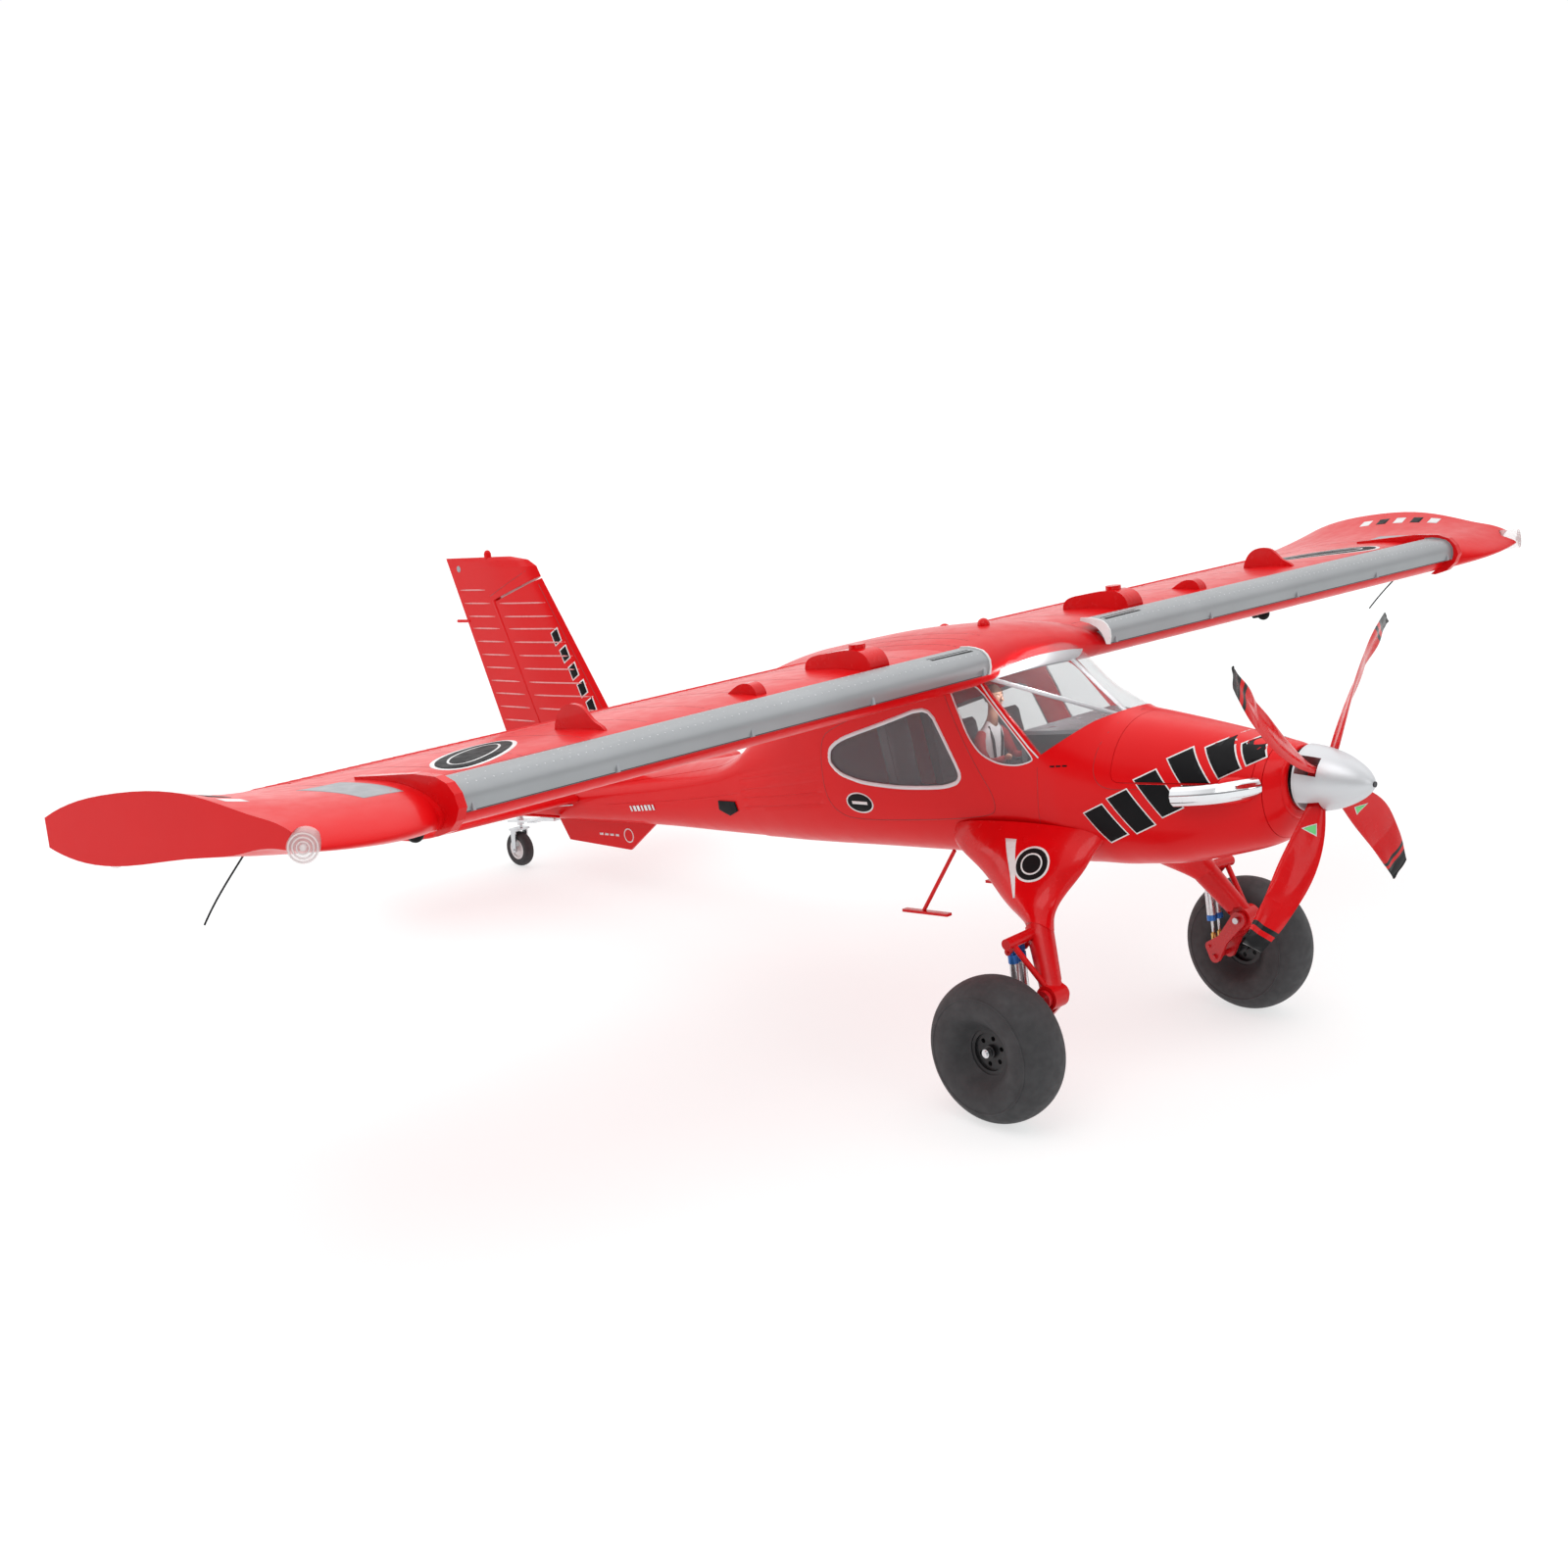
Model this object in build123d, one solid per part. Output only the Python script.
from build123d import *
import math
import os

# ---------------------------------------------------------------------------
# Large radio-controlled foam bush-plane model, high wing, turbine-style nose.
# Everything is drawn in the level frame of the fuselage (x forward, y to port,
# z up, millimetres) and turned nose-up by PITCH so that it stands on its three
# wheels, with the floor at z = 0.
# ---------------------------------------------------------------------------
PITCH = 7.5                    # three-point attitude, degrees
SHIFT_X = 455.516               # moves the middle of the bounding box to x = 0
SPAN = 2000.0
TYRE_R, TYRE_W = 77.0, 32.0    # main tyre radius and half width
WHEEL_Y = 222.5
TW_R = 24.5                    # tail tyre radius
SKIN = 5.0                     # moulded foam wall
PROP_R = 189.3
THRUST_DOWN = 3.0              # down-thrust of the shaft, degrees
TRAVEL_GAP = 0.8

C, S = math.cos(math.radians(PITCH)), math.sin(math.radians(PITCH))


def level_of(gx, gz):
    """Level-frame x, z of a point given on the ground frame."""
    return gx * C + gz * S, -gx * S + gz * C


MX, MZ = level_of(0.0, TYRE_R)             # main wheel centre
TX, TZ = level_of(-1063.0, TW_R)           # tail wheel centre
PIV = (45.0, 122.0)                        # trailing arm pivot, x z
PIV_Y = 170.0
SH_LOW = (4.0, 88.0)                       # shock lower eye
SH_TOP = (2.0, 167.0)                      # shock upper eye
SH_Y = (164.0, 176.0)
HUB = (272.6, 324.0)                       # propeller disc centre, x z
HINGE_X = -292.0                           # aileron and flap hinge line
HINGE_Z = 443.2
EL_X, EL_Z = -962.0, 250.0                 # elevator hinge line
RUD_A = (-925.0, 262.0)                    # rudder hinge, bottom
RUD_B = (-1028.5, 514.0)                   # rudder hinge, top

PARTS = {}


def put(name, *shapes):
    got = []
    for s in shapes:
        got.extend(s.solids())
    PARTS[name] = got


def solid_loft(faces, ruled=False):
    return loft(faces, ruled=ruled)


def box(x0, x1, y0, y1, z0, z1):
    return Pos((x0 + x1) / 2, (y0 + y1) / 2, (z0 + z1) / 2) * Box(abs(x1 - x0), abs(y1 - y0), abs(z1 - z0))


def rod(p, q, r, r2=None):
    """Round bar from p to q."""
    a, b = Vector(*p), Vector(*q)
    d = b - a
    pl = Plane(origin=(a + b) * 0.5, z_dir=d)
    if r2 is None:
        return pl * Cylinder(r, d.length)
    return pl * Cone(r, r2, d.length)


def ycyl(x, z, r, y0, y1):
    return rod((x, y0, z), (x, y1, z), r)


def prism_y(pts, y0, y1):
    """Polygon in the x-z plane pulled from y0 to y1."""
    f = make_face(Polyline(*[(x, y0, z) for x, z in pts], close=True).edges())
    return extrude(f, amount=abs(y1 - y0), dir=(0, 1 if y1 > y0 else -1, 0))


def prism_z(pts, z0, z1):
    f = make_face(Polyline(*[(x, y, z0) for x, y in pts], close=True).edges())
    return extrude(f, amount=abs(z1 - z0), dir=(0, 0, 1 if z1 > z0 else -1))


def smooth_prism_y(pts, y0, y1):
    f = make_face(Spline(*[(x, y0, z) for x, z in pts], periodic=True).edges())
    return extrude(f, amount=abs(y1 - y0), dir=(0, 1 if y1 > y0 else -1, 0))


def hull_y(c, y0, y1):
    """Plate in the x-z plane round a chain of circles (x, z, r)."""
    out = None
    for (xa, za, ra), (xb, zb, rb) in zip(c, c[1:]):
        d = math.hypot(xb - xa, zb - za)
        ux, uz = (xb - xa) / d, (zb - za) / d
        k = (ra - rb) / d
        h = math.sqrt(max(1 - k * k, 0))
        n1 = (ux * k - uz * h, uz * k + ux * h)
        n2 = (ux * k + uz * h, uz * k - ux * h)
        quad = [(xa + n1[0] * ra, za + n1[1] * ra), (xb + n1[0] * rb, zb + n1[1] * rb),
                (xb + n2[0] * rb, zb + n2[1] * rb), (xa + n2[0] * ra, za + n2[1] * ra)]
        piece = prism_y(quad, y0, y1) + ycyl(xa, za, ra, y0, y1) + ycyl(xb, zb, rb, y0, y1)
        out = piece if out is None else out + piece
    return out


def mir(s):
    return mirror(s, about=Plane.XZ)


# ------------------------------------------------------------ fuselage skin
# x, top z, bottom z, half width, z of the widest point, top and bottom exponent
STATIONS = [
    (252.0, 357.0, 290.0, 35.0, 323.0, 2.0, 2.0),
    (240.0, 360.0, 272.0, 43.5, 318.0, 2.0, 2.1),
    (226.0, 362.5, 259.5, 50.0, 313.0, 2.05, 2.2),
    (212.0, 364.8, 253.5, 55.0, 309.0, 2.1, 2.3),
    (187.0, 369.0, 246.5, 61.5, 305.0, 2.15, 2.35),
    (150.0, 375.0, 238.0, 69.0, 303.0, 2.2, 2.4),
    (115.0, 380.5, 231.5, 75.0, 303.0, 2.2, 2.5),
    (80.0, 385.5, 228.5, 79.5, 304.0, 2.25, 2.5),
    (48.0, 390.0, 226.5, 82.5, 306.0, 2.3, 2.6),
    (20.0, 405.5, 226.0, 84.0, 314.0, 2.1, 2.6),
    (0.0, 417.0, 225.5, 85.0, 322.0, 2.0, 2.7),
    (-20.0, 429.0, 225.0, 85.0, 334.0, 2.1, 2.7),
    (-36.0, 439.0, 225.0, 85.0, 341.0, 2.35, 2.7),
    (-60.0, 452.5, 225.0, 85.0, 348.0, 3.0, 2.7),
    (-85.0, 466.0, 224.6, 85.0, 351.0, 3.6, 2.7),
    (-99.0, 469.0, 224.5, 85.0, 352.0, 3.6, 2.7),
    (-200.0, 470.0, 223.5, 85.0, 350.0, 3.6, 2.7),
    (-300.0, 458.0, 222.0, 84.5, 345.0, 3.4, 2.7),
    (-345.0, 450.0, 221.0, 83.0, 340.0, 3.2, 2.7),
    (-387.0, 436.0, 220.0, 80.0, 332.0, 2.7, 2.7),
    (-440.0, 394.0, 219.0, 74.5, 322.0, 2.4, 2.7),
    (-490.0, 357.0, 218.5, 68.5, 312.0, 2.2, 2.6),
    (-537.0, 328.0, 218.0, 62.5, 302.0, 1.75, 2.6),
    (-563.0, 319.0, 218.0, 59.5, 296.0, 1.65, 2.6),
    (-678.0, 300.5, 218.5, 47.5, 276.0, 1.65, 2.6),
    (-780.0, 284.0, 217.0, 38.5, 262.0, 1.7, 2.6),
    (-867.0, 268.5, 214.5, 31.5, 250.0, 1.8, 2.6),
    (-950.0, 253.5, 213.0, 25.0, 238.0, 2.0, 2.6),
    (-1000.0, 245.0, 212.5, 19.0, 231.0, 2.2, 2.6),
]


def section_pts(st, off, n=24):
    x, zt, zb, hw, zw, et, eb = st
    zt, zb, hw = zt - off, zb + off, hw - off
    pts = []
    for i in range(n):
        a = 2 * math.pi * i / n
        c, s = math.cos(a), math.sin(a)
        e = et if s >= 0 else eb
        h = (zt - zw) if s >= 0 else (zw - zb)
        pts.append((x, hw * math.copysign(abs(c) ** (2 / e), c), zw + h * math.copysign(abs(s) ** (2 / e), s)))
    return pts


def station_at(x):
    for a, b in zip(STATIONS, STATIONS[1:]):
        if b[0] <= x <= a[0]:
            t = (a[0] - x) / (a[0] - b[0])
            return (x,) + tuple(a[i] + t * (b[i] - a[i]) for i in range(1, 7))
    raise ValueError(x)


def body_loft(x_front, x_rear, off=0.0):
    sts = [s for s in STATIONS if x_rear < s[0] < x_front]
    sts = [station_at(x_front)] + sts + [station_at(x_rear)]
    faces = [make_face(Spline(*section_pts(s, off), periodic=True).edges()) for s in sts]
    return loft(faces, ruled=True)


CABIN_REAR = -510.0
COWL_SEAM = 231.0
outer_cabin = body_loft(COWL_SEAM, CABIN_REAR)
inner_cabin = body_loft(COWL_SEAM, CABIN_REAR, SKIN)
outer_tail = body_loft(CABIN_REAR, -1000.0)
inner_tail = body_loft(CABIN_REAR, -994.0, SKIN)

# ------------------------------------------------------------ wing
AIRFOIL = [(-386.0, 441.5), (-330.0, 450.5), (-260.0, 460.0), (-200.0, 464.5), (-150.0, 465.8), (-112.0, 462.5),
           (-88.0, 455.5), (-74.0, 446.0), (-70.5, 438.5), (-75.0, 431.0), (-90.0, 424.8), (-114.0, 421.2), (-150.0, 420.0),
           (-220.0, 424.0), (-300.0, 431.5), (-386.0, 439.0)]
SWEEP = 18.5 / 700.0                       # the leading edge runs forward a little towards the tip


def airfoil_face(y, lift=0.0, dx=0.0, fat=0.0):
    k = SWEEP * (abs(y) - 100.0)
    pts = []
    for x, z in AIRFOIL:
        t = (x + 386.0) / 326.0            # 0 at the trailing edge, 1 at the leading edge
        pts.append((x + dx + k * t, y, z + lift * (1 if z > 440 else 0) + fat * (1 if z > 440 else -1) * min(1, 3 * t * (1 - t) * 1.3)))
    e1 = Spline(*pts)
    e2 = Line(pts[-1], pts[0])
    return make_face([e1.edge(), e2.edge()])


wing_in, wing_out = 100.0, 815.0
wing_core = loft([airfoil_face(wing_in), airfoil_face(wing_out)], ruled=True)


def tip_ring(y0, raise_top, drop, y_of):
    """Closed section of the upswept wing tip."""
    top = [(-386.0, 441.5), (-330.0, 451.0), (-281.0, 458.0), (-237.0, 462.0), (-180.0, 465.0), (-135.0, 465.5), (-91.0, 461.0), (-62.0, 450.0)]
    rim = [(-386.0, 459.0), (-340.0, 474.0), (-281.0, 483.5), (-237.0, 487.0), (-180.0, 486.0), (-135.0, 479.0), (-91.0, 470.0), (-50.0, 460.0)]
    low = [(-46.0, 438.0), (-70.0, 427.0), (-120.0, 421.0), (-181.0, 421.5), (-240.0, 425.0), (-299.0, 431.0), (-386.0, 439.0)]
    rlow = [(-28.0, 446.0), (-70.0, 444.0), (-120.0, 437.0), (-181.0, 431.0), (-240.0, 424.0), (-299.0, 419.0), (-386.0, 432.0)]
    k = SWEEP * (abs(y0) - 100.0)
    up = []
    for (xa, za), (xb, zb) in zip(top, rim):
        x = xa + (xb - xa) * raise_top
        x = x + k * (x + 386) / 326 * (1 - raise_top)
        up.append((x, y_of(x), za + (zb - za) * raise_top))
    dn = []
    for (xa, za), (xb, zb) in zip(low, rlow):
        x = xa + (xb - xa) * drop
        x = x + k * (x + 386) / 326 * (1 - drop)
        dn.append((x, y_of(x), za + (zb - za) * drop))
    pts = up + dn
    return make_face([Spline(*pts).edge(), Line(pts[-1], pts[0]).edge()])


tip = loft([airfoil_face(wing_out),
            tip_ring(870.0, 0.10, 0.12, lambda x: 870.0),
            tip_ring(925.0, 0.45, 0.5, lambda x: 925.0 + (-40.0 - x) * 0.03),
            tip_ring(960.0, 1.0, 1.0, lambda x: 958.0 + (-40.0 - x) * 0.1214)])

FLAP_Y = (112.0, 470.0)
AIL_Y = (474.0, 806.0)
HR = 12.7                                   # nose radius of the hinged surfaces


def surface_cut(y0, y1, gap):
    return box(-420, HINGE_X, y0, y1, 380, 520) + ycyl(HINGE_X, HINGE_Z, HR + gap, y0, y1)


def control(y0, y1):
    blank = loft([airfoil_face(y0), airfoil_face(y1)], ruled=True)
    return (blank & box(-420, HINGE_X, y0, y1, 380, 520)) + ycyl(HINGE_X, HINGE_Z, HR, y0, y1)


spar_r = 9.0
SPAR = (-150.0, 443.0)
spar_hole = ycyl(SPAR[0], SPAR[1], spar_r + 0.1, -720.0, 720.0)
servo_wells = [box(-262, -238, y - 12, y + 12, 400, 452) for y in (290.0, 640.0)]
wing_l = wing_core + tip - surface_cut(FLAP_Y[0] - TRAVEL_GAP, FLAP_Y[1] + TRAVEL_GAP, TRAVEL_GAP) \
    - surface_cut(AIL_Y[0] - TRAVEL_GAP, AIL_Y[1] + TRAVEL_GAP, TRAVEL_GAP) - spar_hole
for w in servo_wells:
    wing_l = wing_l - w
lamp_y = 955.0
LAMP = (-37.9, 447.4)
LAMP_DIR = (0.78, 0.62, 0.0)
lamp_seat = rod((LAMP[0] - 13, lamp_y - 10, LAMP[1]), (LAMP[0] + 40, lamp_y + 32, LAMP[1]), 13.45)
wing_l = wing_l - lamp_seat
put("wing_left", wing_l)
put("wing_right", mir(wing_l))
flap_l = control(*FLAP_Y)
ail_l = control(*AIL_Y)
put("flap_left", flap_l)
put("flap_right", mir(flap_l))
put("aileron_left", ail_l)
put("aileron_right", mir(ail_l))

# centre section over the cabin, crowned in the middle
def centre_face(y, crown):
    pts = []
    k = SWEEP * (abs(y) - 100.0)
    front = 0.0
    for x, z in AIRFOIL:
        t = (x + 386.0) / 326.0
        pts.append((x + front * max(0.0, t) ** 2, y, z + (crown * (10.0 + 2.0 * t) if z > 436 else crown * 6.0 * max(0, t - 0.75) * 4)))
    return make_face([Spline(*pts).edge(), Line(pts[-1], pts[0]).edge()])


centre = loft([centre_face(-100.0, 0.0), centre_face(-52.0, 0.72), centre_face(0.0, 1.0), centre_face(52.0, 0.72), centre_face(100.0, 0.0)])
put("wing_center_section", centre - spar_hole)
stab_tube = ycyl(-915.0, 250.0, 3.0, -170.0, 170.0)
put("spar_tubes", ycyl(SPAR[0], SPAR[1], spar_r, -720.0, 720.0) - ycyl(SPAR[0], SPAR[1], spar_r - 1.5, -721.0, 721.0),
    stab_tube - ycyl(-915.0, 250.0, 2.0, -171.0, 171.0))

# leading-edge slats: a thin crescent in front of the wing
SLAT_OUT = [(-40.0, 441.4), (-38.2, 448.0), (-38.6, 455.7), (-42.0, 461.0), (-47.0, 465.0), (-57.0, 467.6), (-66.0, 468.6), (-76.0, 468.4)]
SLAT_IN = [(-76.0, 467.2), (-64.0, 464.5), (-54.0, 460.0), (-48.0, 453.5), (-44.5, 447.0), (-42.5, 441.2)]


def slat_face(y):
    k = SWEEP * (abs(y) - 800.0)
    o = [(x + k, y, z) for x, z in SLAT_OUT]
    i = [(x + k, y, z) for x, z in SLAT_IN]
    return make_face([Spline(*o).edge(), Line(o[-1], i[0]).edge(), Spline(*i).edge(), Line(i[-1], o[0]).edge()])


slat = loft([slat_face(103.0), slat_face(799.0)], ruled=True)
put("slat_left", slat)
put("slat_right", mir(slat))

brackets = []
for y in (112.0, 285.0, 455.0, 625.0, 788.0):
    k = SWEEP * (y - 100.0)
    b = prism_y([(-82 + k, 437), (-82 + k, 453), (-58 + k, 457), (-55.5 + k, 441)], y - 1.5, y + 1.5)
    b = b - wing_core - slat
    b = max(b.solids(), key=lambda q: q.volume)
    brackets += [b, mir(b)]
put("slat_brackets", *brackets)

# ------------------------------------------------------------ wing-top fairings
def top_z(x, y=300.0):
    k = SWEEP * (abs(y) - 100.0)
    best = None
    for (xa, za), (xb, zb) in zip(AIRFOIL[:7], AIRFOIL[1:8]):
        xa2, xb2 = xa + k * (xa + 386) / 326, xb + k * (xb + 386) / 326
        if xa2 <= x <= xb2:
            best = za + (zb - za) * (x - xa2) / (xb2 - xa2)
    return best


fair = []
# hump with a cap
hump = smooth_prism_y([(-200, 455), (-199, 473), (-170, 482), (-136, 486), (-112, 480), (-106, 465), (-112, 455)], 201.0, 229.0)
cap = Pos(-136.0, 215.0, 487.0) * Cylinder(9.0, 7.0)
fair.append(hump + cap - wing_core)
# small teardrop
tear = smooth_prism_y([(-180, 458), (-160, 468), (-142, 476), (-128, 474), (-122, 464), (-128, 456)], 362.0, 376.0)
fair.append(tear - wing_core)
# tall D-shaped fence
fence = smooth_prism_y([(-200, 452), (-197, 472), (-186, 485), (-170, 489.5), (-154, 486), (-140, 474), (-126, 466), (-124, 456)], 565.0, 569.0)
fair.append(fence - wing_core)
# cuff that wraps the leading edge outboard of the slat
cuff = prism_y([(-30, 447), (-34, 459), (-43, 468), (-58, 473), (-90, 474), (-130, 471), (-180, 467.2),
                (-180, 462), (-60, 430), (-72, 422), (-66, 421), (-48, 426), (-36, 436)], 800.5, 809.5)
cuff = cuff - wing_core
fair.append(max(cuff.solids(), key=lambda s: s.volume))
# blisters on the centre section
fair_c = []
for x, y in ((-150.0, 0.0), (-245.0, 40.0)):
    kn = Pos(x, y, 478.0 if x > -200 else 466.0) * Sphere(7.0)
    fair_c.append(kn - centre)
knobs = []
for k in fair_c:
    knobs.append(max(k.solids(), key=lambda s: s.volume))
put("wing_top_fairings", *fair, *[mir(f) for f in fair], *knobs)

# lamps at the wing tips and below them, beacon and tail lamp
lens = rod((LAMP[0] - 12, lamp_y - 9.5, LAMP[1]), (LAMP[0] + 7, lamp_y + 5.6, LAMP[1]), 13.2)
low_lamp = Pos(-316.0, 975.0, 419.0) * Sphere(6.5)
lens_u = lens - wing_l
low_u = low_lamp - wing_l
low_u = max(low_u.solids(), key=lambda s: s.volume)
put("wing_lights", max(lens_u.solids(), key=lambda s: s.volume), mir(max(lens_u.solids(), key=lambda s: s.volume)), low_u, mir(low_u))

# aerials and balance bulbs under the wing
def arc_rod(pts, r):
    w = Spline(*pts)
    return sweep(Plane(origin=pts[0], z_dir=w % 0) * Circle(r), path=w)


whip = arc_rod([(-176, 931, 424), (-200, 932, 405), (-226, 933.5, 383), (-252, 935, 358)], 0.9)
whip = whip - wing_l
whip = max(whip.solids(), key=lambda s: s.volume)
arm = rod((-262.0, 697.0, 424.0), (-268.0, 697.0, 392.0), 2.6) - wing_l
bulb = Pos(-266.0, 697.0, 386.0) * Sphere(8.5)
bulb = bulb + rod((-266.0, 697.0, 386.0), (-282.0, 697.0, 384.0), 4.5)
bal = max((arm + bulb).solids(), key=lambda s: s.volume)
put("wing_aerials", whip, mir(whip), bal, mir(bal))

# ------------------------------------------------------------ fin, rudder, tail
def thick(poly, t0, t1, z0, z1):
    """Plate symmetric about y = 0 whose half thickness tapers from t0 at z0 to t1 at z1."""
    p = prism_y(poly, -30.0, 30.0)
    xs = [a for a, _ in poly]
    xa, xb = min(xs) - 5, max(xs) + 5
    wedge = []
    for x in (xa, xb):
        wedge.append(make_face(Polyline((x, -t0, z0), (x, t0, z0), (x, t1, z1), (x, -t1, z1), close=True).edges()))
    return p & loft(wedge, ruled=True)


def lens_plate(front, rear, half):
    """Symmetric streamlined plate lofted between level sections. front and rear are lists of (x, z); half is the half thickness at each."""
    faces = []
    for (xf, z), (xr, _), h in zip(front, rear, half):
        c = xf - xr
        pts = [(xf, 0, z), (xf - 0.05 * c, h * 0.55, z), (xf - 0.2 * c, h * 0.92, z), (xf - 0.38 * c, h, z), (xf - 0.7 * c, h * 0.62, z), (xr, 0.8, z)]
        low = [(x, -y, zz) for x, y, zz in reversed(pts)]
        faces.append(make_face([Spline(*pts).edge(), Line(pts[-1], low[0]).edge(), Spline(*low).edge()]))
    return loft(faces, ruled=True)


def rud_x(z):
    t = (z - RUD_A[1]) / (RUD_B[1] - RUD_A[1])
    return RUD_A[0] + t * (RUD_B[0] - RUD_A[0])


def fin_le(z):
    return -764.0 + (z - 283.0) / (545.0 - 283.0) * (-160.0)


def rud_te(z):
    return -1022.0 + (z - 264.0) / (572.0 - 264.0) * (-109.5)


# one streamlined blank for fin and rudder together
zz = [232.0, 264.0, 400.0, 545.0, 559.0, 568.0, 573.0]
le = [fin_le(232.0), fin_le(264.0), fin_le(400.0), -924.0, -931.0, -948.0, -985.0]
te = [rud_te(232.0), rud_te(264.0), rud_te(400.0), rud_te(545.0), rud_te(559.0), rud_te(568.0), rud_te(573.0)]
hf = [10.0, 10.0, 9.0, 7.5, 7.0, 5.5, 3.0]
blank = lens_plate(list(zip(le, zz)), list(zip(te, zz)), hf)
RR = 6.6                                   # rudder nose radius
hx, hz = RUD_B[0] - RUD_A[0], RUD_B[1] - RUD_A[1]
hl = math.hypot(hx, hz)
ux, uz = hx / hl, hz / hl
# region behind the hinge line, and above the horn cut
rear_region = prism_y([(RUD_A[0] - ux * 60, RUD_A[1] - uz * 60), (RUD_B[0], RUD_B[1]), (-924.0 + 60, 545.0 + 17.8),
                       (-860.0, 620.0), (-1250.0, 620.0), (-1250.0, 200.0)], -30.0, 30.0)
rud_cyl = rod((RUD_A[0] - ux * 60, 0, RUD_A[1] - uz * 60), (RUD_B[0] + ux * 0, 0, RUD_B[1] + uz * 0), RR)
rud_cyl_gap = rod((RUD_A[0] - ux * 60, 0, RUD_A[1] - uz * 60), (RUD_B[0] + ux * 12, 0, RUD_B[1] + uz * 12), RR + 1.1)
fin = blank - rear_region - rud_cyl_gap
# keep 1.5 mm of air under the horn balance
horn_gap = prism_y([(RUD_B[0] - 6, RUD_B[1] - 5.0), (-860.0, 563.9 - 2.8), (-860.0, 620.0), (RUD_B[0] - 6, 620.0)], -30.0, 30.0)
fin = fin - horn_gap
fin = fin - outer_tail
fin = fin - box(-1100, -700, -40, 40, 200, 246)
fin = max(fin.solids(), key=lambda s: s.volume)
rudder = (blank & rear_region) + (rud_cyl & box(-1100, -800, -30, 30, 264.0, 600.0))
rudder = rudder - box(-1200, -700, -40, 40, 180, 264.0)
rudder = max(rudder.solids(), key=lambda s: s.volume)
beacon = rod((-1036.0, 0, 571.0), (-1036.0, 0, 578.0), 5.0) + Pos(-1036.0, 0, 578.0) * Sphere(4.6)
tail_lamp = rod((-1095.0, 0, 485.0), (-1124.0, 0, 485.0), 2.2)
rudder = rudder + beacon + tail_lamp
put("rudder", rudder)
beacon2 = rod((-540.0, 0, 319.0), (-540.0, 0, 333.0), 2.2) + rod((-540.0, 0, 333.0), (-540.0, 0, 341.0), 4.0, 12.0)
beacon2 = beacon2 - outer_tail

# stabiliser in two halves joined by a tube; elevators behind
def stab_face(y, fx, rx, t):
    c = fx - rx
    pts = [(fx - c * f, y, 250.0 + h) for f, h in ((0.0, 0.0), (0.02, t * 0.45), (0.1, t * 0.82), (0.28, t), (0.55, t * 0.86), (0.8, 0.7 + t * 0.35), (1.0, 0.8))]
    low = [(x, yy, 500.0 - z) for x, yy, z in reversed(pts)]
    return make_face([Spline(*pts).edge(), Line(pts[-1], low[0]).edge(), Spline(*low).edge()])


ST_Y = (16.0, 292.0)
stab_blank = loft([stab_face(16.0, -862.0, -1042.0, 6.5), stab_face(262.0, -874.0, -1036.0, 6.0), stab_face(285.0, -884.0, -1030.0, 4.8),
                   stab_face(292.0, -896.0, -1022.0, 3.0)], ruled=True)
ER = 5.6
el_cut = box(-1100, EL_X, 0, 400, 200, 300)
stab_l = stab_blank - el_cut - ycyl(EL_X, EL_Z, ER + TRAVEL_GAP, 0, 400)
stab_l = stab_l - body_loft(CABIN_REAR, -1000.0, -0.3) - ycyl(-915.0, 250.0, 3.1, 0, 171)
stab_l = max(stab_l.solids(), key=lambda s: s.volume)
el_in = prism_z([(EL_X + 10, 29.0), (-1060, 72.0), (-1060, 400.0), (EL_X + 10, 400.0)], 200, 300)
elev_l = ((stab_blank & el_cut) + ycyl(EL_X, EL_Z, ER, 29.5, 292.0)) & el_in & (box(-1100, EL_X + 20, 29.5, 292.0, 200, 300))
elev_l = max(elev_l.solids(), key=lambda s: s.volume)
horn = prism_y([(EL_X - 4, 246.0), (EL_X - 22, 246.5), (EL_X - 14, 231.0), (EL_X - 8, 231.0)], 41.0, 43.0)
joiner = ycyl(EL_X, EL_Z, 2.4, -42.0, 42.0)
put("stabiliser", stab_l, mir(stab_l))
elev = elev_l + mir(elev_l) + joiner + mir(horn)
put("elevator", elev)

# bracing struts under the stabiliser
struts = []
for xa, xb in ((-922.0, -900.0), (-926.0, -944.0)):
    s = rod((xa, 24.0, 221.0), (xb, 118.0, 246.0), 1.8)
    s = s - outer_tail - stab_l
    s = max(s.solids(), key=lambda q: q.volume)
    struts += [s, mir(s)]
put("stabiliser_struts", *struts)

# fuselage tail: shell, end plug, cut for the elevator joiner and the pushrod
PUSH_A, PUSH_B = (EL_X - 10.0, -46.5, 234.0), (-820.0, -15.8, 245.4)
tail = outer_tail - inner_tail
tail = tail - rod(PUSH_A, PUSH_B, 1.6)
slot = hull_y([(EL_X, EL_Z, 4.0), (EL_X - 60, EL_Z + 14, 9.0)], -40, 40)
tail = tail - slot - stab_tube - ycyl(EL_X, EL_Z, 4.0, -40, 40)
tail = tail - ycyl(-915.0, 250.0, 3.05, -171, 171)
tail = max(tail.solids(), key=lambda s: s.volume)
put("tail_cone", tail)
put("fin", fin, beacon2)
ventral = prism_y([(-949, 212), (-932, 184), (-805, 178), (-744.5, 219)], -1.6, 1.6) - outer_tail
put("ventral_fin", max(ventral.solids(), key=lambda s: s.volume))

# ------------------------------------------------------------ cabin shell and openings
cabin = outer_cabin - inner_cabin
cabin = cabin - centre
HATCH = (69.0, 222.0, 326.0)
hatch_box = box(HATCH[0], HATCH[1], -120, 120, HATCH[2], 420)
hatch = (outer_cabin - inner_cabin) & box(HATCH[0] + 0.5, HATCH[1] - 0.5, -120, 120, HATCH[2] + 0.5, 420)
put("battery_hatch", hatch)
cabin = cabin - hatch_box
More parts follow.
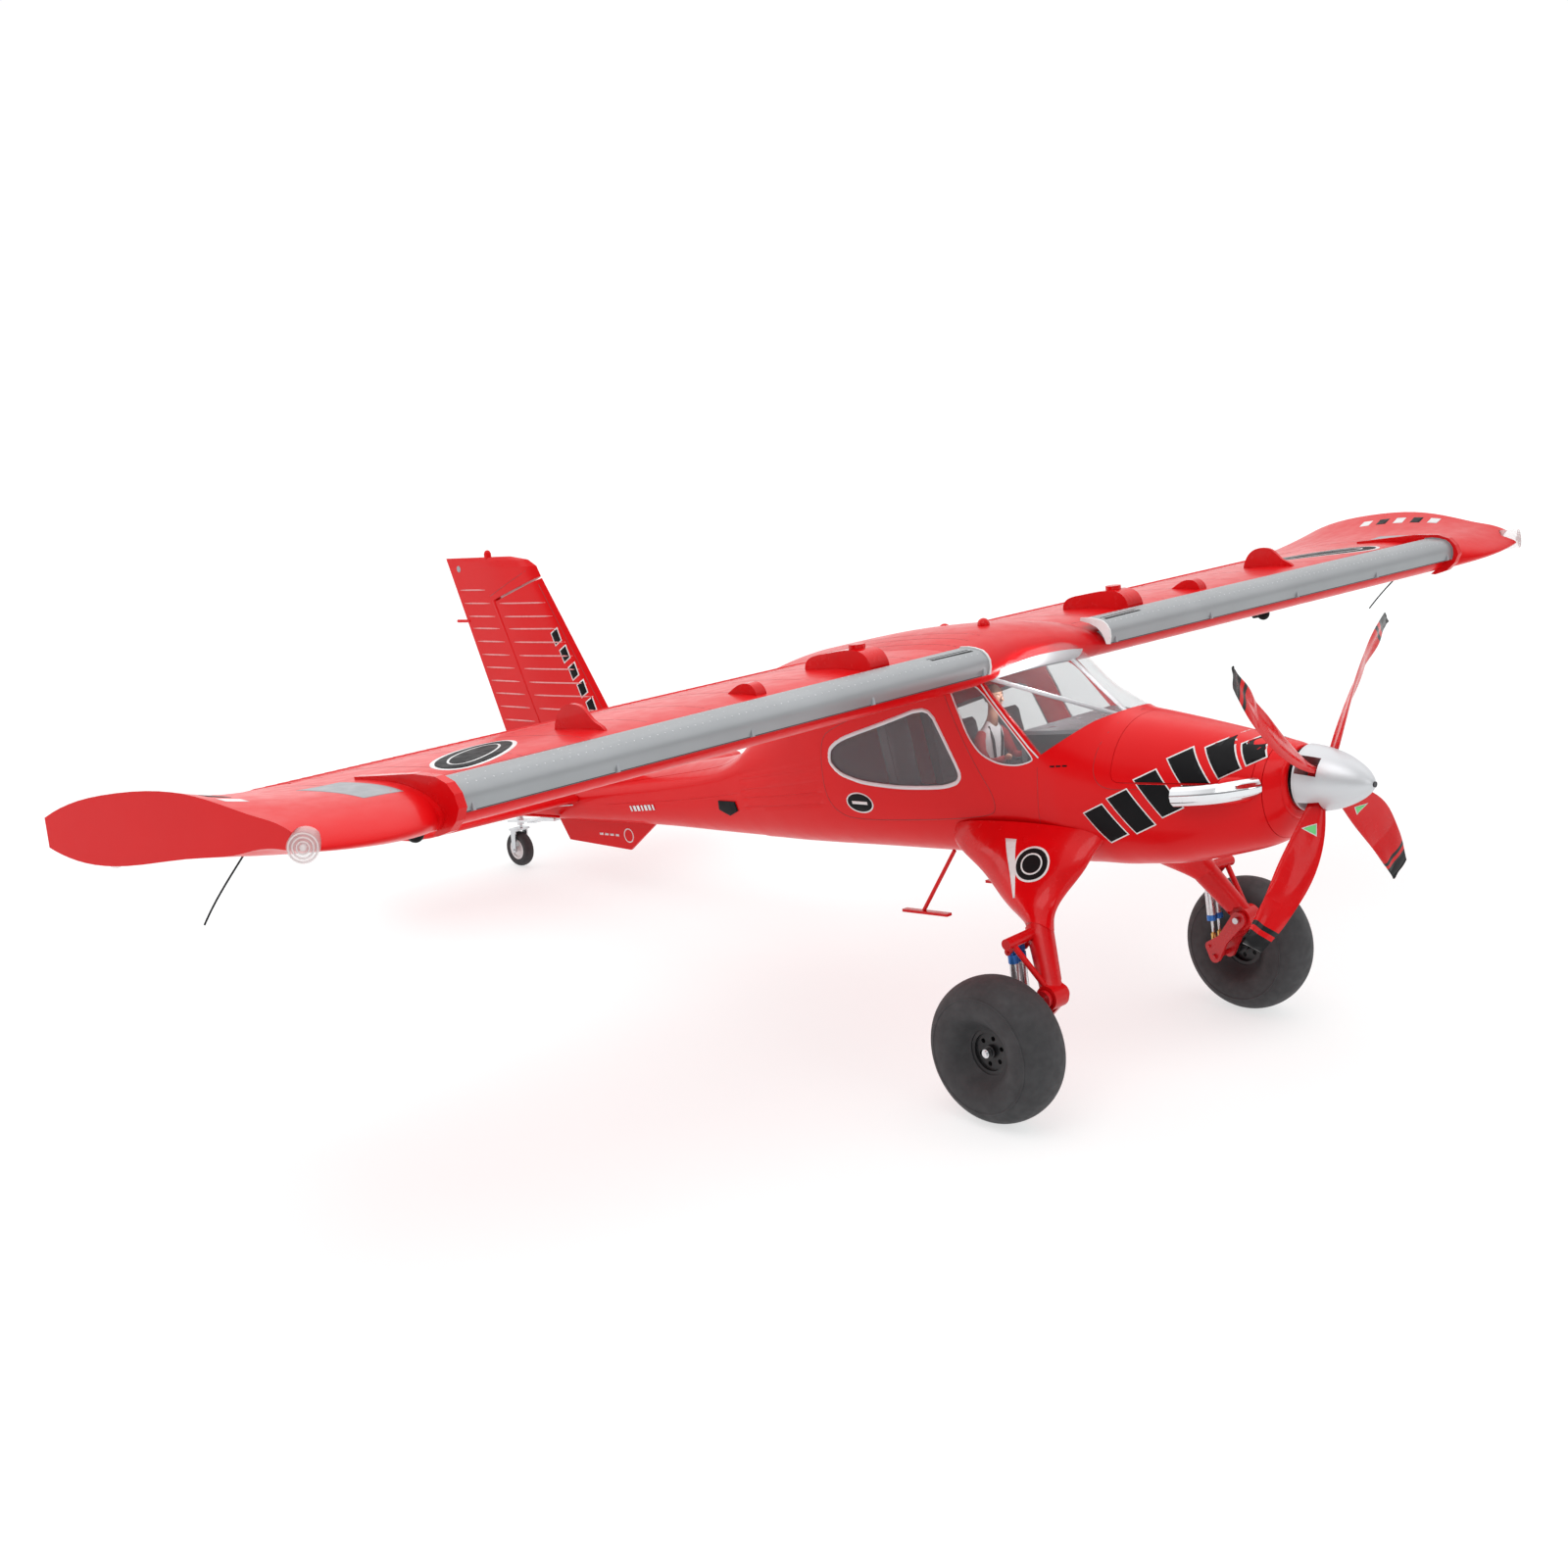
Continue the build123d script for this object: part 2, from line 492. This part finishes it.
# windshield opening: above the sloping sill and ahead of the door pillars
WS_SIDE = [(-95.0, 431.0), (-60.0, 395.0), (-17.0, 350.5)]
ws_poly = [(-16.0, 352.0), (12.0, 370.0), (33.0, 384.0), (50.0, 391.5), (60.0, 470.0), (-30.0, 520.0), (-99.0, 520.0), (-99.0, 436.0), (-92.0, 430.0)]
ws_cut = prism_y(ws_poly, -110, 110)
door_win = [(-140.0, 426.0), (-125.0, 396.0), (-114.0, 369.0), (-99.0, 350.0), (-75.0, 340.0), (-47.0, 339.0), (-26.0, 345.0), (-25.0, 350.0), (-64.0, 392.0), (-98.0, 428.0)]
rear_win = [(-167.0, 404.0), (-238.0, 382.0), (-308.0, 362.0), (-329.0, 349.0), (-332.0, 331.0), (-315.0, 317.0), (-281.0, 308.5), (-222.0, 305.5), (-157.0, 309.0), (-133.0, 316.0), (-127.0, 328.0), (-144.0, 361.0)]
door_cut = prism_y(door_win, -110, 110)
rear_cut = prism_y(rear_win, -110, 110)
cabin = cabin - ws_cut - door_cut - rear_cut
glass_o = body_loft(60.0, -345.0, 0.6)
glass_i = body_loft(60.0, -345.0, 2.0)
glass = glass_o - glass_i - centre
ws = glass & ws_cut
ws = ws - box(-400, -99.0, -120, 120, 0, 600)
ws = max(ws.solids(), key=lambda s: s.volume)
put("windshield", ws)
panes = [g for g in (glass & door_cut).solids() if g.volume > 50] + [g for g in (glass & rear_cut).solids() if g.volume > 50]
put("side_windows", *panes)
cabin = max(cabin.solids(), key=lambda s: s.volume)
put("fuselage_cabin", cabin)

# nose ring
cowl = body_loft(252.0, COWL_SEAM + 0.4) - body_loft(248.6, COWL_SEAM + 0.4, 2.2) - rod((244.0, 0, 325.4), (262.0, 0, 324.5), 27.0)
# chin air intake under the spinner
cowl = cowl - prism_y([(262, 286), (240, 284), (234, 268), (262, 266)], -19.0, 19.0)
put("nose_cowl", cowl)

# windshield tubes: from the middle of the sill up to the two roof corners
tubes = []
for sgn in (1, -1):
    tubes.append(rod((38.0, 4.0 * sgn, 380.5), (-92.0, 71.0 * sgn, 431.5), 2.4) - centre)
tubes = [max(t.solids(), key=lambda q: q.volume) for t in tubes]
put("windshield_frame", tubes[0], max((tubes[1] - tubes[0]).solids(), key=lambda q: q.volume))

# ------------------------------------------------------------ exhaust stacks
ex = arc_rod([(240.0, 41.0, 324.0), (226.0, 56.0, 322.5), (208.0, 67.5, 320.5), (184.0, 75.0, 318.5), (150.0, 80.0, 316.0)], 10.0)
ex_in = arc_rod([(240.0, 41.0, 324.0), (226.0, 56.0, 322.5), (208.0, 67.5, 320.5), (184.0, 75.0, 318.5), (146.0, 80.6, 315.7)], 8.5)
ex = ex - body_loft(COWL_SEAM, CABIN_REAR, -0.3) - body_loft(252.0, COWL_SEAM - 0.5, -0.3)
ex = ex - (ex_in & box(120, 208, 40, 130, 290, 350))
ex = max(ex.solids(), key=lambda s: s.volume)
put("exhaust_stacks", ex, mir(ex))

# ------------------------------------------------------------ main landing gear
def leg_face(cx, cy, cz, a, b, nrm):
    return make_face((Plane(origin=(cx, cy, cz), x_dir=(1, 0, 0), z_dir=nrm) * Ellipse(a, b)).edges())


LEG = [(-49.0, 72.0, 267.0, 104.0, 17.0), (-50.0, 84.0, 255.0, 97.0, 17.5), (-35.0, 100.0, 236.0, 75.0, 18.0), (-24.0, 112.0, 218.0, 51.5, 17.5),
       (-13.0, 125.0, 202.0, 34.0, 16.5), (2.0, 135.0, 190.0, 22.0, 15.5), (11.8, 142.0, 181.5, 16.0, 15.0)]
legf = []
for i, (cx, cy, cz, a, b) in enumerate(LEG):
    legf.append(leg_face(cx, cy, cz, a, b, (0.0, 0.70, -0.714)))
leg = loft(legf)
leg = leg - body_loft(COWL_SEAM, CABIN_REAR, -0.3)
leg = max(leg.solids(), key=lambda s: s.volume)
put("gear_legs", leg, mir(leg))

d = Vector(PIV[0] - 11.8, PIV_Y - 142.0, PIV[1] - 181.5).normalized()
s0 = Vector(11.8, 142.0, 181.5)
strut = rod(tuple(s0 - d * 4), (PIV[0], PIV_Y, PIV[1]), 14.6, 11.5)
strut = strut + ycyl(PIV[0], PIV[1], 13.0, PIV_Y - 10.5, PIV_Y + 10.5)
horn_t = rod((11.8, 142.0, 181.5), (11.6, 196.0, 178.7), 6.0)
brace = rod((12.0, 187.0, 178.0), (41.0, 176.0, 134.0), 3.2)
lug_a = hull_y([(11.7, 179.3, 5.0), (SH_TOP[0], SH_TOP[1], 3.6)], 155.5, 157.6)
lug_b = hull_y([(11.7, 179.3, 5.0), (SH_TOP[0], SH_TOP[1], 3.6)], 182.4, 184.5)
top_pin = ycyl(SH_TOP[0], SH_TOP[1], 1.5, 154.0, 186.0)
strut = strut + horn_t + brace + lug_a + lug_b + top_pin
strut = strut - leg
strut = strut - ycyl(PIV[0], PIV[1], 2.1, PIV_Y - 40, PIV_Y + 40)
# keep the trailing arm's bosses clear of the leg over its travel
strut = strut - (ycyl(PIV[0], PIV[1], 15.0, 152.0, 159.3)) - (ycyl(PIV[0], PIV[1], 15.0, 180.7, 188.0))
strut = max(strut.solids(), key=lambda s: s.volume)
put("gear_struts", strut, mir(strut))

bolts = [ycyl(PIV[0], PIV[1], 2.05, 151.5, 190.0) + ycyl(PIV[0], PIV[1], 3.6, 149.0, 152.3) + ycyl(PIV[0], PIV[1], 3.6, 187.6, 190.6)]
put("gear_bolts", bolts[0], mir(bolts[0]))

chain = [(PIV[0], PIV[1], 9.0), (22.0, 97.0, 6.5), (MX, MZ, 7.0)]
prong = hull_y(chain, 153.9, 158.5) + hull_y([(22.0, 97.0, 6.0), (SH_LOW[0], SH_LOW[1], 5.5), (MX, MZ, 7.0)], 153.9, 158.5)
prong2 = hull_y(chain, 181.5, 186.1) + hull_y([(22.0, 97.0, 6.0), (SH_LOW[0], SH_LOW[1], 5.5), (MX, MZ, 7.0)], 181.5, 186.1)
arm_l = prong + prong2 + ycyl(24.0, 99.0, 4.0, 158.0, 182.0) + ycyl(SH_LOW[0], SH_LOW[1], 1.5, 151.5, 188.2) \
    + ycyl(MX, MZ, 3.0, 150.5, 243.0) + ycyl(MX, MZ, 5.5, 186.0, 207.0) + ycyl(MX, MZ, 4.6, 236.4, 241.2)
arm_l = arm_l - ycyl(PIV[0], PIV[1], 2.1, 140, 200)
arm_l = max(arm_l.solids(), key=lambda s: s.volume)
put("gear_arm_left", arm_l)
put("gear_arm_right", mir(arm_l))

# shock absorbers: body with blue caps, rod with a brass eye
dx, dz = SH_LOW[0] - SH_TOP[0], SH_LOW[1] - SH_TOP[1]
sl = math.hypot(dx, dz)
sx, sz = dx / sl, dz / sl


def along(t):
    return SH_TOP[0] + sx * t, SH_TOP[1] + sz * t


sb, sr = [], []
for y in SH_Y:
    a0, a1 = along(4.0), along(50.0)
    body = rod((a0[0], y, a0[1]), (a1[0], y, a1[1]), 5.1)
    c0, c1 = along(4.0), along(13.0)
    body = body + rod((c0[0], y, c0[1]), (c1[0], y, c1[1]), 5.6) + ycyl(SH_TOP[0], SH_TOP[1], 4.6, y - 3.0, y + 3.0)
    b0, b1 = along(45.0), along(51.0)
    body = body + rod((b0[0], y, b0[1]), (b1[0], y, b1[1]), 5.6)
    body = body - ycyl(SH_TOP[0], SH_TOP[1], 1.55, y - 10, y + 10)
    h0, h1 = along(14.0), along(60.0)
    body = body - rod((h0[0], y, h0[1]), (h1[0], y, h1[1]), 1.66)
    sb.append(body)
    r0, r1 = along(27.0), along(sl - 3.5)
    rd = rod((r0[0], y, r0[1]), (r1[0], y, r1[1]), 1.6)
    e0, e1 = along(sl - 13.0), along(sl - 3.0)
    rd = rd + rod((e0[0], y, e0[1]), (e1[0], y, e1[1]), 2.8) + ycyl(SH_LOW[0], SH_LOW[1], 4.4, y - 2.6, y + 2.6)
    rd = rd - ycyl(SH_LOW[0], SH_LOW[1], 2.6, y - 10, y + 10)
    sr.append(rd)
put("shock_bodies_left", *sb)
put("shock_bodies_right", *[mir(b) for b in sb])
put("shock_rods_left", *sr)
put("shock_rods_right", *[mir(b) for b in sr])

# wheels
def tyre_solid(cx, cy, cz, R, w, rin, bead):
    fl = min(3.0, 0.45 * (w - bead))
    prof = [(rin, -bead), (rin + 1.1 * fl, -bead - fl), (rin + 0.30 * (R - rin), -w * 0.93), (rin + 0.52 * (R - rin), -w), (R - 0.16 * (R - rin), -w * 0.78),
            (R - 0.03 * (R - rin), -w * 0.38), (R, 0.0)]
    pts = [(r, y) for r, y in prof] + [(r, -y) for r, y in reversed(prof[:-1])]
    e = Spline(*[(r, y, 0) for r, y in pts])
    f = make_face([e.edge(), Line((pts[-1][0], pts[-1][1], 0), (pts[0][0], pts[0][1], 0)).edge()])
    f = f.moved(Location((0, 0, 0)))
    t = revolve(f, axis=Axis.Y, revolution_arc=360)
    return Pos(cx, cy, cz) * t


tyre = tyre_solid(MX, WHEEL_Y, MZ, TYRE_R, TYRE_W, 24.0, 13.0)
hub = ycyl(MX, MZ, 23.9, WHEEL_Y - 12.0, WHEEL_Y + 12.0)
hub = hub - ycyl(MX, MZ, 20.0, WHEEL_Y + 9.0, WHEEL_Y + 13.0) - ycyl(MX, MZ, 20.0, WHEEL_Y - 13.0, WHEEL_Y - 6.0)
hub = hub + ycyl(MX, MZ, 7.0, WHEEL_Y - 14.5, WHEEL_Y + 13.0)
hub = hub - ycyl(MX, MZ, 3.05, WHEEL_Y - 40, WHEEL_Y + 40)
for i in range(6):
    a = math.radians(60 * i + 15)
    hub = hub - Pos(0, 0, 0) * ycyl(MX + 14.0 * math.cos(a), MZ + 14.0 * math.sin(a), 2.6, WHEEL_Y - 20, WHEEL_Y + 20)
put("tyre_left", tyre)
put("tyre_right", mir(tyre))
put("wheel_hub_left", hub)
put("wheel_hub_right", mir(hub))

# ------------------------------------------------------------ tail wheel
leaf = prism_y([(-955, 214), (-985, 213), (-1000, 209), (-1030, 206), (-1062, 204), (-1062, 201.5), (-1028, 203.4), (-999, 206.6), (-984, 210.4), (-955, 211.4)], -8.0, 8.0)
leaf2 = prism_y([(-957, 211.4), (-986, 210), (-1002, 205.5), (-1018, 204.2), (-1018, 202.2), (-1000, 203.4), (-985, 207.4), (-957, 208.6)], -6.5, 6.5)
KP = (TX + 8.0, TZ)                       # king pin x
kp_x = TX + 9.0
pin_boss = rod((kp_x, 0, 198.0), (kp_x, 0, 214.0), 5.0)
bracket = leaf + leaf2 + pin_boss
bracket = bracket - outer_tail - rod((kp_x, 0, 190.0), (kp_x, 0, 220.0), 2.08)
bracket = max(bracket.solids(), key=lambda s: s.volume)
put("tailwheel_bracket", bracket)
steer_arm = box(kp_x - 3.0, kp_x + 3.0, -24.0, 24.0, 214.4, 216.4)
fork = rod((kp_x, 0, 191.0), (kp_x, 0, 218.0), 2.0) + steer_arm + rod((kp_x, 0, 214.4), (kp_x, 0, 218.0), 3.4)
fork = fork + box(TX - 5, kp_x + 4, -11.5, 11.5, 190.4, 193.2)
fork = fork + hull_y([(TX, TZ, 4.2), (TX + 3.0, 190.8, 5.0)], 9.3, 11.3) + hull_y([(TX, TZ, 4.2), (TX + 3.0, 190.8, 5.0)], -11.3, -9.3)
fork = fork - box(TX - 20, kp_x + 20, -20, 20, 193.2, 197.6) + rod((kp_x, 0, 191.0), (kp_x, 0, 218.0), 2.0)
fork = fork + ycyl(TX, TZ, 1.5, -12.5, 12.5)
fork = max(fork.solids(), key=lambda s: s.volume)
put("tailwheel_fork", fork)
tw_tyre = tyre_solid(TX, 0.0, TZ, TW_R, 7.4, 14.5, 6.2)
tw_hub = ycyl(TX, TZ, 14.4, -6.0, 6.0) - ycyl(TX, TZ, 12.0, 3.5, 7.0) - ycyl(TX, TZ, 12.0, -7.0, -3.5) + ycyl(TX, TZ, 4.0, -8.6, 8.6)
tw_hub = tw_hub - ycyl(TX, TZ, 1.56, -20, 20)
put("tailwheel_tyre", tw_tyre)
put("tailwheel_hub", tw_hub)

# ------------------------------------------------------------ propeller and motor
ad = Vector(math.cos(math.radians(THRUST_DOWN)), 0, -math.sin(math.radians(THRUST_DOWN)))
HUBP = Vector(HUB[0], 0, HUB[1])
shaft_pl = Plane(origin=HUBP, x_dir=(0, 1, 0), z_dir=ad)       # z along the shaft


def on_shaft(t):
    return tuple(HUBP + ad * t)


spin_prof = [(0, 57.0), (4.0, 55.5), (10.0, 51.0), (15.5, 44.5), (21.5, 34.3), (26.5, 23.0), (30.7, 8.0), (33.0, -7.5), (33.5, -14.0)]
outer_e = Spline(*[(r, t, 0) for r, t in spin_prof])
inn = [(31.8, -14.0), (31.3, -7.5), (29.0, 7.6), (24.8, 22.0), (19.8, 32.6), (13.8, 41.8), (7.5, 48.0), (0, 50.0)]
spin_face = make_face([outer_e.edge(), Line((33.5, -14.0, 0), (31.8, -14.0, 0)).edge(), Spline(*[(r, t, 0) for r, t in inn]).edge(), Line((0, 50.0, 0), (0, 57.0, 0)).edge()])
spin_local = revolve(spin_face, axis=Axis.Y)
to_shaft = Plane(origin=HUBP, x_dir=(0, 1, 0), z_dir=ad.cross(Vector(0, 1, 0)) * -1)
# local y runs along the shaft
sp_pl = Plane(origin=HUBP, x_dir=(0, 1, 0), z_dir=Vector(0, 1, 0).cross(ad))
spinner = sp_pl * spin_local

BLADE_ANGLES = (125.2, 215.2, 305.2, 35.2)


def blade_local():
    """Blade along local +x, shaft along local +z, turning towards local -y ... leading edge at +y."""
    data = [  # radius, chord, pitch, thickness, sweep of the mid-chord towards the trailing side
        (9.0, 13.0, 62.0, 10.0, 0.0), (22.0, 15.0, 58.0, 8.5, -1.0), (34.0, 20.0, 52.0, 6.6, -3.0), (55.0, 29.0, 44.0, 5.2, -5.0),
        (85.0, 37.5, 36.0, 4.2, -4.0), (115.0, 38.5, 29.5, 3.4, 0.0), (145.0, 34.5, 24.5, 2.7, 7.0), (170.0, 29.0, 21.5, 2.1, 15.0), (187.5, 24.0, 20.0, 1.6, 22.0)]
    faces = []
    for r, ch, pit, th, sw in data:
        b = math.radians(pit)
        cdir = Vector(0, math.cos(b), math.sin(b))          # towards the leading edge
        ndir = Vector(0, -math.sin(b), math.cos(b))
        o = Vector(r, 0, 0) + Vector(0, -sw * math.cos(b), -sw * math.sin(b) * 0.5)
        prof = [(0.5, 0.0), (0.36, 0.34), (0.1, 0.5), (-0.2, 0.4), (-0.5, 0.05), (-0.5, -0.05), (-0.15, -0.22), (0.2, -0.26), (0.42, -0.2)]
        pts = [tuple(o + cdir * (u * ch) + ndir * (v * th)) for u, v in prof]
        faces.append(make_face(Spline(*pts, periodic=True).edges()))
    return loft(faces)


blade0 = blade_local()
hub_core = Cylinder(13.0, 22.0) - Cylinder(3.2, 40.0)
blades = []
for ang in BLADE_ANGLES:
    a = math.radians(ang)
    rad = Vector(0, -math.cos(a), math.sin(a))
    pl = Plane(origin=HUBP, x_dir=tuple((rad - ad * rad.dot(ad)).normalized()), z_dir=tuple(ad))
    # leading side is the direction of rotation: x cross radial
    blades.append(pl * blade0)
hub_s = Plane(origin=HUBP, z_dir=ad) * hub_core
for b in blades:
    hub_s = hub_s + b
hub_s = hub_s - rod(on_shaft(-30), on_shaft(30), 3.2)
hub_s = max(hub_s.solids(), key=lambda s: s.volume)
put("propeller_blades", hub_s)
# slots in the spinner for the blades
for ang, b in zip(BLADE_ANGLES, blades):
    a = math.radians(ang)
    rad = Vector(0, -math.cos(a), math.sin(a))
    rad = (rad - ad * rad.dot(ad)).normalized()
    pl = Plane(origin=HUBP + rad * 32 - ad * 4.5, x_dir=tuple(rad), z_dir=tuple(ad))
    spinner = spinner - pl * Box(30, 20.0, 27.0)
spinner = spinner - rod(on_shaft(40), on_shaft(60), 3.0)
spinner = max(spinner.solids(), key=lambda s: s.volume)
put("spinner", spinner)
plate = Plane(origin=Vector(*on_shaft(-15.2)), z_dir=ad) * Cylinder(33.5, 2.2)
plate = plate - rod(on_shaft(-30), on_shaft(30), 3.2)
put("spinner_backplate", plate)
shaft = rod(on_shaft(-62), on_shaft(43.5), 3.15)
cone = rod(on_shaft(11.4), on_shaft(18.0), 6.5)
bell = rod(on_shaft(-66), on_shaft(-26), 25.0) - rod(on_shaft(-63), on_shaft(-29.5), 23.0)
bell = bell - rod(on_shaft(-67), on_shaft(-62.5), 23.0)
nut = rod(on_shaft(43.0), on_shaft(57.5), 2.9)
bell = bell + shaft + cone + nut + rod(on_shaft(-26.5), on_shaft(-16.6), 7.0)
bell = max(bell.solids(), key=lambda s: s.volume)
put("motor_bell", bell)
stator = rod(on_shaft(-70), on_shaft(-31.5), 21.5) - rod(on_shaft(-80), on_shaft(-20), 3.6)
mount = rod(on_shaft(-76), on_shaft(-70), 26.0)
cross = Plane(origin=Vector(*on_shaft(-78)), z_dir=ad) * Box(53.0, 53.0, 4.0)
cross = cross & rod(on_shaft(-84), on_shaft(-70), 36.0)
base = stator + mount + cross
for sy in (-1, 1):
    for sz2 in (-1, 1):
        pl = Plane(origin=HUBP, x_dir=(0, 1, 0), z_dir=ad)
        p0 = pl.from_local_coords(Vector(22.0 * sy, 22.0 * sz2, -79.0))
        p1 = pl.from_local_coords(Vector(22.0 * sy, 22.0 * sz2, -112.0))
        base = base + rod(tuple(p0), tuple(p1), 4.0)
base = base - box(100, 158.5, -60, 60, 250, 400)
base = base + (body_loft(162.0, 158.0, 5.8) & box(157, 163, -100, 100, 252, 322)) + box(158, 162, -30, 30, 300, 356)
base = base - rod(on_shaft(-80), on_shaft(-20), 3.6)
put("motor_base", base)

# ------------------------------------------------------------ inside
floor_in = body_loft(150.0, -340.0, SKIN + 0.6)
tub = floor_in & box(-340, -44, -100, 100, 270, 276)
panel = floor_in & box(-44, -38, -100, 100, 270, 374)
cowl_in = floor_in & box(-44, 44, -100, 100, 372, 376)
tub_all = tub + panel + cowl_in
put("cockpit_tub", tub_all)
seat_f = []
for sgn in (1, -1):
    for sx0 in (-150.0, -255.0):
        y = 37.0 * sgn
        st = box(sx0, sx0 + 46, y - 21, y + 21, 276.2, 290.0)
        bk = prism_y([(sx0 + 6, 290), (sx0 - 6, 290), (sx0 - 22, 374), (sx0 - 14, 378), (sx0 - 9, 374)], y - 19, y + 19)
        seat_f.append(st + bk)
put("seats", *seat_f)
py = -36.0
torso = loft([make_face((Pos(-127.0, py, 290.5) * Ellipse(12.5, 17)).edges()), make_face((Pos(-128.0, py, 330) * Ellipse(12, 18)).edges()),
              make_face((Pos(-124.5, py, 360) * Ellipse(10, 19)).edges()), make_face((Pos(-121.5, py, 374) * Ellipse(6.5, 9)).edges())])
head = Pos(-113.5, py, 403.8) * Sphere(12.4)
neck = rod((-122.0, py, 371), (-116.0, py, 395), 5.5)
thigh = rod((-122, py - 9, 296), (-84, py - 10, 303), 6.0) + rod((-122, py + 9, 296), (-84, py + 10, 303), 6.0)
shin = rod((-84, py - 10, 303), (-74, py - 10, 279.5), 5.0) + rod((-84, py + 10, 303), (-74, py + 10, 279.5), 5.0)
armp = rod((-132, py - 19, 364), (-118, py - 23, 336), 5.0) + rod((-118, py - 23, 336), (-88, py - 14, 338), 4.2) \
    + rod((-132, py + 19, 364), (-118, py + 23, 336), 5.0) + rod((-118, py + 23, 336), (-88, py + 14, 338), 4.2)
pil = torso + head + neck + thigh + shin + armp
pil = pil - box(-160, -139.6, py - 30, py + 30, 280, 380)
for s in seat_f:
    pil = pil - s
pil = max(pil.solids(), key=lambda s: s.volume)
put("pilot_figure", pil)

bat = box(38, 148, -24, 24, 262, 306)
put("battery", bat)
put("speed_controller", box(88, 148, -18, 18, 238.5 + 8, 260.5))
put("receiver", box(-300, -262, -14, 14, 262 - 26, 250))
servo = []
for y in (290.0, 640.0):
    sv = box(-261.5, -238.5, y - 11.5, y + 11.5, 427.0, 451.0)
    arm_s = box(-251.0, -247.0, y - 2.0, y + 1.0, 413.0, 427.0)
    sv = sv + arm_s
    servo += [sv, mir(sv)]
for y in (-16.0, 16.0):
    servo.append(box(-420, -384, y - 8, y + 8, 232.0, 262.0))
put("servos", *servo)

# elevator pushrod on the starboard side of the tail
pr = rod(PUSH_A, PUSH_B, 1.1)
pr = pr + ycyl(PUSH_A[0], PUSH_A[2], 2.4, -47.6, -44.8)
put("elevator_pushrod", pr)

# boarding steps
steps = []
for sgn in (1,):
    st = rod((-166, 66, 236.0), (-216, 72, 165.0), 2.3) + box(-246, -178, 68.0, 76.0, 161.5, 164.8)
    st = st - outer_cabin
    st = max(st.solids(), key=lambda s: s.volume)
    steps += [st, mir(st)]
put("entry_steps", *steps)

# ------------------------------------------------------------ stand it on its wheels and write the files
os.makedirs("parts", exist_ok=True)
place = Location((SHIFT_X, 0, 0)) * Location((0, 0, 0), (0, 1, 0), -PITCH)
lo, hi = [1e9] * 3, [-1e9] * 3
for name, sols in PARTS.items():
    sols = [s for s in sols if s.volume > 0.5]
    shape = Compound(children=[s for s in sols]) if len(sols) > 1 else sols[0]
    shape = shape.moved(place)
    bb = shape.bounding_box()
    for i, (a, b) in enumerate(zip((bb.min.X, bb.min.Y, bb.min.Z), (bb.max.X, bb.max.Y, bb.max.Z))):
        lo[i], hi[i] = min(lo[i], a), max(hi[i], b)
    export_step(shape, "parts/" + name + ".step")
    print(name, len(sols), round(sum(s.volume for s in sols) / 1000, 2))
print("box", [round(v, 2) for v in lo], [round(v, 2) for v in hi], "middle x", round((lo[0] + hi[0]) / 2, 3), "nodes", len(PARTS))
